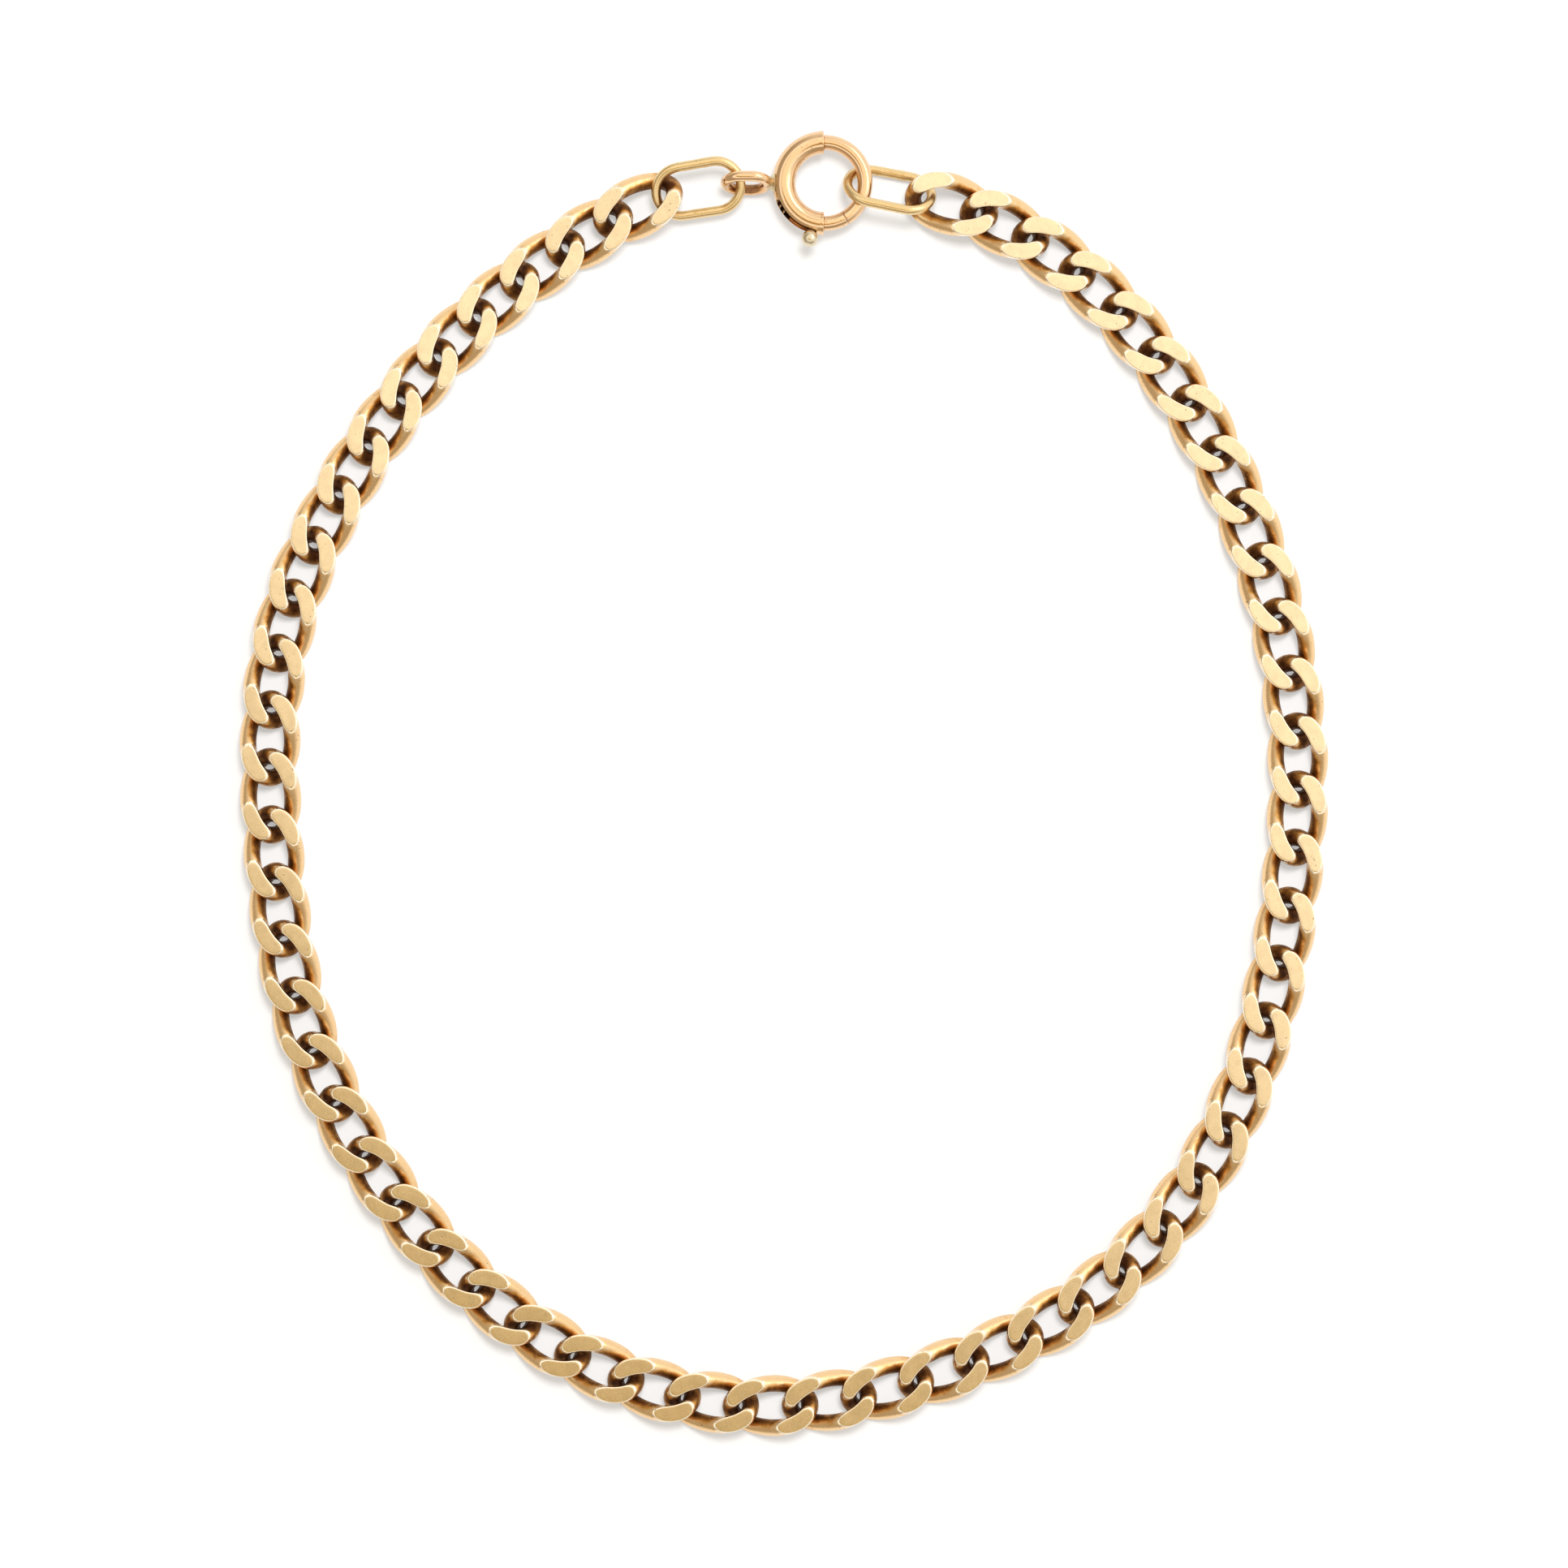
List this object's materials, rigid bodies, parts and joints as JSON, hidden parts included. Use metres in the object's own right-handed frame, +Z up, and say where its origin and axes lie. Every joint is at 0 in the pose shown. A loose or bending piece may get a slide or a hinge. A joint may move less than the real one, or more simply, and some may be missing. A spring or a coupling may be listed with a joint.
{
  "type": "chain necklace",
  "caption": "Flat curb-link chain necklace with oval end links and a spring-loaded bolt-ring clasp, laid out open in a loop.",
  "frame": {"origin": "on the table, under the middle of the laid-out necklace", "axes": "+X to the wearer's left when the clasp is away from the viewer (right in the view from above), +Y from the front of the chain to the clasp, +Z up from the table"},
  "size_m": [0.1236, 0.1482, 0.0052],
  "materials": {
    "link_gold": "polished flat facets on worn, faintly scratched warm gold",
    "wire_gold": "polished drawn wire in warm gold",
    "clasp_gold": "polished rosy gold tube and wire",
    "pale_gold": "pale satin gold ball",
    "spring_steel": "drawn spring wire"
  },
  "bodies": {
    "curb_link_right_01": {"curb_link_right_01": "link_gold"},
    "curb_link_right_02": {"curb_link_right_02": "link_gold"},
    "curb_link_right_03": {"curb_link_right_03": "link_gold"},
    "curb_link_right_04": {"curb_link_right_04": "link_gold"},
    "curb_link_right_05": {"curb_link_right_05": "link_gold"},
    "curb_link_right_06": {"curb_link_right_06": "link_gold"},
    "curb_link_right_07": {"curb_link_right_07": "link_gold"},
    "curb_link_right_08": {"curb_link_right_08": "link_gold"},
    "curb_link_right_09": {"curb_link_right_09": "link_gold"},
    "curb_link_right_10": {"curb_link_right_10": "link_gold"},
    "curb_link_right_11": {"curb_link_right_11": "link_gold"},
    "curb_link_right_12": {"curb_link_right_12": "link_gold"},
    "curb_link_right_13": {"curb_link_right_13": "link_gold"},
    "curb_link_right_14": {"curb_link_right_14": "link_gold"},
    "curb_link_right_15": {"curb_link_right_15": "link_gold"},
    "curb_link_right_16": {"curb_link_right_16": "link_gold"},
    "curb_link_right_17": {"curb_link_right_17": "link_gold"},
    "curb_link_right_18": {"curb_link_right_18": "link_gold"},
    "curb_link_right_19": {"curb_link_right_19": "link_gold"},
    "curb_link_right_20": {"curb_link_right_20": "link_gold"},
    "curb_link_right_21": {"curb_link_right_21": "link_gold"},
    "curb_link_right_22": {"curb_link_right_22": "link_gold"},
    "curb_links_right_23_24": {"curb_links_right_23_24": "link_gold"},
    "curb_links_right_25_26": {"curb_links_right_25_26": "link_gold"},
    "curb_links_right_27_28": {"curb_links_right_27_28": "link_gold"},
    "curb_link_left_01": {"curb_link_left_01": "link_gold"},
    "curb_link_left_02": {"curb_link_left_02": "link_gold"},
    "curb_link_left_03": {"curb_link_left_03": "link_gold"},
    "curb_link_left_04": {"curb_link_left_04": "link_gold"},
    "curb_link_left_05": {"curb_link_left_05": "link_gold"},
    "curb_link_left_06": {"curb_link_left_06": "link_gold"},
    "curb_link_left_07": {"curb_link_left_07": "link_gold"},
    "curb_link_left_08": {"curb_link_left_08": "link_gold"},
    "curb_link_left_09": {"curb_link_left_09": "link_gold"},
    "curb_link_left_10": {"curb_link_left_10": "link_gold"},
    "curb_link_left_11": {"curb_link_left_11": "link_gold"},
    "curb_link_left_12": {"curb_link_left_12": "link_gold"},
    "curb_link_left_13": {"curb_link_left_13": "link_gold"},
    "curb_link_left_14": {"curb_link_left_14": "link_gold"},
    "curb_link_left_15": {"curb_link_left_15": "link_gold"},
    "curb_link_left_16": {"curb_link_left_16": "link_gold"},
    "curb_link_left_17": {"curb_link_left_17": "link_gold"},
    "curb_link_left_18": {"curb_link_left_18": "link_gold"},
    "curb_link_left_19": {"curb_link_left_19": "link_gold"},
    "curb_link_left_20": {"curb_link_left_20": "link_gold"},
    "curb_link_left_21": {"curb_link_left_21": "link_gold"},
    "curb_link_left_22": {"curb_link_left_22": "link_gold"},
    "curb_links_left_23_24": {"curb_links_left_23_24": "link_gold"},
    "curb_links_left_25_26": {"curb_links_left_25_26": "link_gold"},
    "curb_links_left_27_28": {"curb_links_left_27_28": "link_gold"},
    "curb_link_bottom": {"curb_link_bottom": "link_gold"},
    "long_link_right": {"long_link_right": "wire_gold"},
    "long_link_left": {"long_link_left": "wire_gold"},
    "clasp": {"clasp_casing": "clasp_gold", "clasp_ring_wire": "clasp_gold", "clasp_spring": "spring_steel", "clasp_eyelet": "clasp_gold"},
    "clasp_tongue": {"clasp_bolt": "clasp_gold", "clasp_thumb_knob": "pale_gold"}
  },
  "joints": [
    {"name": "fold_right_28", "type": "hinge", "parent": "curb_link_bottom", "child": "curb_links_right_27_28", "pos_m": [0.00181, -0.07056, 0.0015], "axis": [0.9999, 0.0143, 0], "range_deg": [-16, 15]},
    {"name": "fold_left_28", "type": "hinge", "parent": "curb_link_bottom", "child": "curb_links_left_27_28", "pos_m": [-0.00492, -0.07066, 0.0015], "axis": [0.9999, 0.0143, 0], "range_deg": [-16, 15]},
    {"name": "fold_right_26", "type": "hinge", "parent": "curb_links_right_27_28", "child": "curb_links_right_25_26", "pos_m": [0.01495, -0.06784, 0.0015], "axis": [-1, 0.0036, 0], "range_deg": [-14, 15]},
    {"name": "fold_left_26", "type": "hinge", "parent": "curb_links_left_27_28", "child": "curb_links_left_25_26", "pos_m": [-0.01797, -0.06773, 0.0015], "axis": [-1, 0.0036, 0], "range_deg": [-14, 15]},
    {"name": "fold_right_24", "type": "hinge", "parent": "curb_links_right_25_26", "child": "curb_links_right_23_24", "pos_m": [0.02737, -0.06281, 0.0015], "axis": [0.9997, -0.0245, 0], "range_deg": [-14, 14]},
    {"name": "fold_left_24", "type": "hinge", "parent": "curb_links_left_25_26", "child": "curb_links_left_23_24", "pos_m": [-0.02972, -0.06142, 0.0015], "axis": [0.9997, -0.0245, 0], "range_deg": [-14, 14]},
    {"name": "fold_right_22", "type": "hinge", "parent": "curb_links_right_23_24", "child": "curb_link_right_22", "pos_m": [0.03843, -0.05532, 0.0015], "axis": [-0.9994, 0.0348, 0], "range_deg": [-14, 13]},
    {"name": "fold_left_22", "type": "hinge", "parent": "curb_links_left_23_24", "child": "curb_link_left_22", "pos_m": [-0.03966, -0.05261, 0.0015], "axis": [-0.9994, 0.0348, 0], "range_deg": [-14, 13]},
    {"name": "fold_right_21", "type": "hinge", "parent": "curb_link_right_22", "child": "curb_link_right_21", "pos_m": [0.04307, -0.05052, 0.0015], "axis": [0.9994, -0.0347, 0], "range_deg": [-14, 14]},
    {"name": "fold_left_21", "type": "hinge", "parent": "curb_link_left_22", "child": "curb_link_left_21", "pos_m": [-0.04389, -0.0475, 0.0015], "axis": [0.9994, -0.0347, 0], "range_deg": [-14, 14]},
    {"name": "fold_right_20", "type": "hinge", "parent": "curb_link_right_21", "child": "curb_link_right_20", "pos_m": [0.04702, -0.04514, 0.0015], "axis": [-0.9995, 0.0327, 0], "range_deg": [-15, 15]},
    {"name": "fold_left_20", "type": "hinge", "parent": "curb_link_left_21", "child": "curb_link_left_20", "pos_m": [-0.04763, -0.04204, 0.0015], "axis": [-0.9995, 0.0327, 0], "range_deg": [-15, 15]},
    {"name": "fold_right_19", "type": "hinge", "parent": "curb_link_right_20", "child": "curb_link_right_19", "pos_m": [0.05028, -0.03933, 0.0015], "axis": [0.9995, -0.0301, 0], "range_deg": [-16, 15]},
    {"name": "fold_left_19", "type": "hinge", "parent": "curb_link_left_20", "child": "curb_link_left_19", "pos_m": [-0.05086, -0.03629, 0.0015], "axis": [0.9995, -0.0301, 0], "range_deg": [-16, 15]},
    {"name": "fold_right_18", "type": "hinge", "parent": "curb_link_right_19", "child": "curb_link_right_18", "pos_m": [0.05287, -0.0332, 0.0015], "axis": [-0.9996, 0.0276, 0], "range_deg": [-15, 17]},
    {"name": "fold_left_18", "type": "hinge", "parent": "curb_link_left_19", "child": "curb_link_left_18", "pos_m": [-0.05351, -0.03026, 0.0015], "axis": [-0.9996, 0.0276, 0], "range_deg": [-15, 17]},
    {"name": "fold_right_17", "type": "hinge", "parent": "curb_link_right_18", "child": "curb_link_right_17", "pos_m": [0.05483, -0.02684, 0.0015], "axis": [0.9997, -0.0257, 0], "range_deg": [-18, 16]},
    {"name": "fold_left_17", "type": "hinge", "parent": "curb_link_left_18", "child": "curb_link_left_17", "pos_m": [-0.05551, -0.024, 0.0015], "axis": [0.9997, -0.0257, 0], "range_deg": [-18, 16]},
    {"name": "fold_right_16", "type": "hinge", "parent": "curb_link_right_17", "child": "curb_link_right_16", "pos_m": [0.05627, -0.02035, 0.0015], "axis": [-0.9997, 0.0245, 0], "range_deg": [-18, 20]},
    {"name": "fold_left_16", "type": "hinge", "parent": "curb_link_left_17", "child": "curb_link_left_16", "pos_m": [-0.05686, -0.01758, 0.0015], "axis": [-0.9997, 0.0245, 0], "range_deg": [-18, 20]},
    {"name": "fold_right_15", "type": "hinge", "parent": "curb_link_right_16", "child": "curb_link_right_15", "pos_m": [0.05734, -0.0138, 0.0015], "axis": [0.9997, -0.0236, 0], "range_deg": [-21, 20]},
    {"name": "fold_left_15", "type": "hinge", "parent": "curb_link_left_16", "child": "curb_link_left_15", "pos_m": [-0.05769, -0.01109, 0.0015], "axis": [0.9997, -0.0236, 0], "range_deg": [-21, 20]},
    {"name": "fold_right_14", "type": "hinge", "parent": "curb_link_right_15", "child": "curb_link_right_14", "pos_m": [0.0581, -0.00722, 0.0015], "axis": [-0.9997, 0.0227, 0], "range_deg": [-21, 22]},
    {"name": "fold_left_14", "type": "hinge", "parent": "curb_link_left_15", "child": "curb_link_left_14", "pos_m": [-0.05819, -0.00458, 0.0015], "axis": [-0.9997, 0.0227, 0], "range_deg": [-21, 22]},
    {"name": "fold_right_13", "type": "hinge", "parent": "curb_link_right_14", "child": "curb_link_right_13", "pos_m": [0.05846, -0.0006, 0.0015], "axis": [0.9998, -0.0217, 0], "range_deg": [-22, 21]},
    {"name": "fold_left_13", "type": "hinge", "parent": "curb_link_left_14", "child": "curb_link_left_13", "pos_m": [-0.05845, 0.00194, 0.0015], "axis": [0.9998, -0.0217, 0], "range_deg": [-22, 21]},
    {"name": "fold_right_12", "type": "hinge", "parent": "curb_link_right_13", "child": "curb_link_right_12", "pos_m": [0.05828, 0.00601, 0.0015], "axis": [-0.9998, 0.0208, 0], "range_deg": [-20, 19]},
    {"name": "fold_left_12", "type": "hinge", "parent": "curb_link_left_13", "child": "curb_link_left_12", "pos_m": [-0.05829, 0.00843, 0.0015], "axis": [-0.9998, 0.0208, 0], "range_deg": [-20, 19]},
    {"name": "fold_right_11", "type": "hinge", "parent": "curb_link_right_12", "child": "curb_link_right_11", "pos_m": [0.0575, 0.01257, 0.0015], "axis": [0.9998, -0.02, 0], "range_deg": [-15, 18]},
    {"name": "fold_left_11", "type": "hinge", "parent": "curb_link_left_12", "child": "curb_link_left_11", "pos_m": [-0.05747, 0.01487, 0.0015], "axis": [0.9998, -0.02, 0], "range_deg": [-15, 18]},
    {"name": "fold_right_10", "type": "hinge", "parent": "curb_link_right_11", "child": "curb_link_right_10", "pos_m": [0.05616, 0.01904, 0.0015], "axis": [-0.9998, 0.0187, 0], "range_deg": [-18, 14]},
    {"name": "fold_left_10", "type": "hinge", "parent": "curb_link_left_11", "child": "curb_link_left_10", "pos_m": [-0.05583, 0.02113, 0.0015], "axis": [-0.9998, 0.0187, 0], "range_deg": [-18, 14]},
    {"name": "fold_right_09", "type": "hinge", "parent": "curb_link_right_10", "child": "curb_link_right_09", "pos_m": [0.05432, 0.02537, 0.0015], "axis": [0.9999, -0.0164, 0], "range_deg": [-14, 17]},
    {"name": "fold_left_09", "type": "hinge", "parent": "curb_link_left_10", "child": "curb_link_left_09", "pos_m": [-0.05346, 0.02714, 0.0015], "axis": [0.9999, -0.0164, 0], "range_deg": [-14, 17]},
    {"name": "fold_right_08", "type": "hinge", "parent": "curb_link_right_09", "child": "curb_link_right_08", "pos_m": [0.05202, 0.03154, 0.0015], "axis": [-0.9999, 0.0131, 0], "range_deg": [-16, 14]},
    {"name": "fold_left_08", "type": "hinge", "parent": "curb_link_left_09", "child": "curb_link_left_08", "pos_m": [-0.05053, 0.03288, 0.0015], "axis": [-0.9999, 0.0131, 0], "range_deg": [-16, 14]},
    {"name": "fold_right_07", "type": "hinge", "parent": "curb_link_right_08", "child": "curb_link_right_07", "pos_m": [0.04925, 0.03751, 0.0015], "axis": [1, -0.0088, 0], "range_deg": [-13, 15]},
    {"name": "fold_left_07", "type": "hinge", "parent": "curb_link_left_08", "child": "curb_link_left_07", "pos_m": [-0.04718, 0.03836, 0.0015], "axis": [1, -0.0088, 0], "range_deg": [-13, 15]},
    {"name": "fold_right_06", "type": "hinge", "parent": "curb_link_right_07", "child": "curb_link_right_06", "pos_m": [0.04602, 0.04323, 0.0015], "axis": [-1, 0.0038, 0], "range_deg": [-15, 13]},
    {"name": "fold_left_06", "type": "hinge", "parent": "curb_link_left_07", "child": "curb_link_left_06", "pos_m": [-0.04344, 0.04358, 0.0015], "axis": [-1, 0.0038, 0], "range_deg": [-15, 13]},
    {"name": "fold_right_05", "type": "hinge", "parent": "curb_link_right_06", "child": "curb_link_right_05", "pos_m": [0.04231, 0.04865, 0.0015], "axis": [1, 0.0022, 0], "range_deg": [-12, 14]},
    {"name": "fold_left_05", "type": "hinge", "parent": "curb_link_left_06", "child": "curb_link_left_05", "pos_m": [-0.03931, 0.04848, 0.0015], "axis": [1, 0.0022, 0], "range_deg": [-12, 14]},
    {"name": "fold_right_04", "type": "hinge", "parent": "curb_link_right_05", "child": "curb_link_right_04", "pos_m": [0.0381, 0.05368, 0.0015], "axis": [-1, -0.0092, 0], "range_deg": [-13, 12]},
    {"name": "fold_left_04", "type": "hinge", "parent": "curb_link_left_05", "child": "curb_link_left_04", "pos_m": [-0.03482, 0.05301, 0.0015], "axis": [-1, -0.0092, 0], "range_deg": [-13, 12]},
    {"name": "fold_right_03", "type": "hinge", "parent": "curb_link_right_04", "child": "curb_link_right_03", "pos_m": [0.03334, 0.05819, 0.00157], "axis": [0.9999, 0.0164, 0], "range_deg": [-13, 12]},
    {"name": "fold_left_03", "type": "hinge", "parent": "curb_link_left_04", "child": "curb_link_left_03", "pos_m": [-0.02997, 0.05715, 0.00157], "axis": [0.9999, 0.0164, 0], "range_deg": [-13, 12]},
    {"name": "fold_right_02", "type": "hinge", "parent": "curb_link_right_03", "child": "curb_link_right_02", "pos_m": [0.02802, 0.06198, 0.00179], "axis": [-0.9998, -0.0214, 0], "range_deg": [-11, 13]},
    {"name": "fold_left_02", "type": "hinge", "parent": "curb_link_left_03", "child": "curb_link_left_02", "pos_m": [-0.02481, 0.06085, 0.00179], "axis": [-0.9998, -0.0214, 0], "range_deg": [-11, 13]},
    {"name": "fold_right_01", "type": "hinge", "parent": "curb_link_right_02", "child": "curb_link_right_01", "pos_m": [0.02215, 0.06485, 0.00215], "axis": [0.9998, 0.018, 0], "range_deg": [-13, 11]},
    {"name": "fold_left_01", "type": "hinge", "parent": "curb_link_left_02", "child": "curb_link_left_01", "pos_m": [-0.01937, 0.0641, 0.00215], "axis": [0.9998, 0.018, 0], "range_deg": [-13, 11]},
    {"name": "fold_right_end", "type": "hinge", "parent": "curb_link_right_01", "child": "long_link_right", "pos_m": [0.01589, 0.06663, 0.00265], "axis": [1, -0.008, 0], "range_deg": [-5, 30]},
    {"name": "fold_left_end", "type": "hinge", "parent": "curb_link_left_01", "child": "long_link_left", "pos_m": [-0.0137, 0.06687, 0.00265], "axis": [1, -0.008, 0], "range_deg": [-5, 30]},
    {"name": "clasp_flip", "type": "hinge", "parent": "long_link_left", "child": "clasp", "pos_m": [-0.00571, 0.06816, 0.0027], "axis": [1, 0, 0], "range_deg": [-2, 55]},
    {"name": "clasp_tongue_slide", "type": "hinge", "parent": "clasp", "child": "clasp_tongue", "pos_m": [0.00459, 0.06816, 0.0027], "axis": [0, 0, -1], "range_deg": [0, 50], "stiffness_Nm_per_rad": 0.003, "springref_deg": -20.05, "deforming": ["clasp_spring"]}
  ],
  "couplings": [
    {"joint": "fold_left_28", "follows": "fold_right_28", "ratio": 1},
    {"joint": "fold_left_26", "follows": "fold_right_26", "ratio": 1},
    {"joint": "fold_left_24", "follows": "fold_right_24", "ratio": 1},
    {"joint": "fold_left_22", "follows": "fold_right_22", "ratio": 1},
    {"joint": "fold_left_21", "follows": "fold_right_21", "ratio": 1},
    {"joint": "fold_left_20", "follows": "fold_right_20", "ratio": 1},
    {"joint": "fold_left_19", "follows": "fold_right_19", "ratio": 1},
    {"joint": "fold_left_18", "follows": "fold_right_18", "ratio": 1},
    {"joint": "fold_left_17", "follows": "fold_right_17", "ratio": 1},
    {"joint": "fold_left_16", "follows": "fold_right_16", "ratio": 1},
    {"joint": "fold_left_15", "follows": "fold_right_15", "ratio": 1},
    {"joint": "fold_left_14", "follows": "fold_right_14", "ratio": 1},
    {"joint": "fold_left_13", "follows": "fold_right_13", "ratio": 1},
    {"joint": "fold_left_12", "follows": "fold_right_12", "ratio": 1},
    {"joint": "fold_left_11", "follows": "fold_right_11", "ratio": 1},
    {"joint": "fold_left_10", "follows": "fold_right_10", "ratio": 1},
    {"joint": "fold_left_09", "follows": "fold_right_09", "ratio": 1},
    {"joint": "fold_left_08", "follows": "fold_right_08", "ratio": 1},
    {"joint": "fold_left_07", "follows": "fold_right_07", "ratio": 1},
    {"joint": "fold_left_06", "follows": "fold_right_06", "ratio": 1},
    {"joint": "fold_left_05", "follows": "fold_right_05", "ratio": 1},
    {"joint": "fold_left_04", "follows": "fold_right_04", "ratio": 1},
    {"joint": "fold_left_03", "follows": "fold_right_03", "ratio": 1},
    {"joint": "fold_left_02", "follows": "fold_right_02", "ratio": 1},
    {"joint": "fold_left_01", "follows": "fold_right_01", "ratio": 1},
    {"joint": "fold_left_end", "follows": "fold_right_end", "ratio": 1}
  ]
}
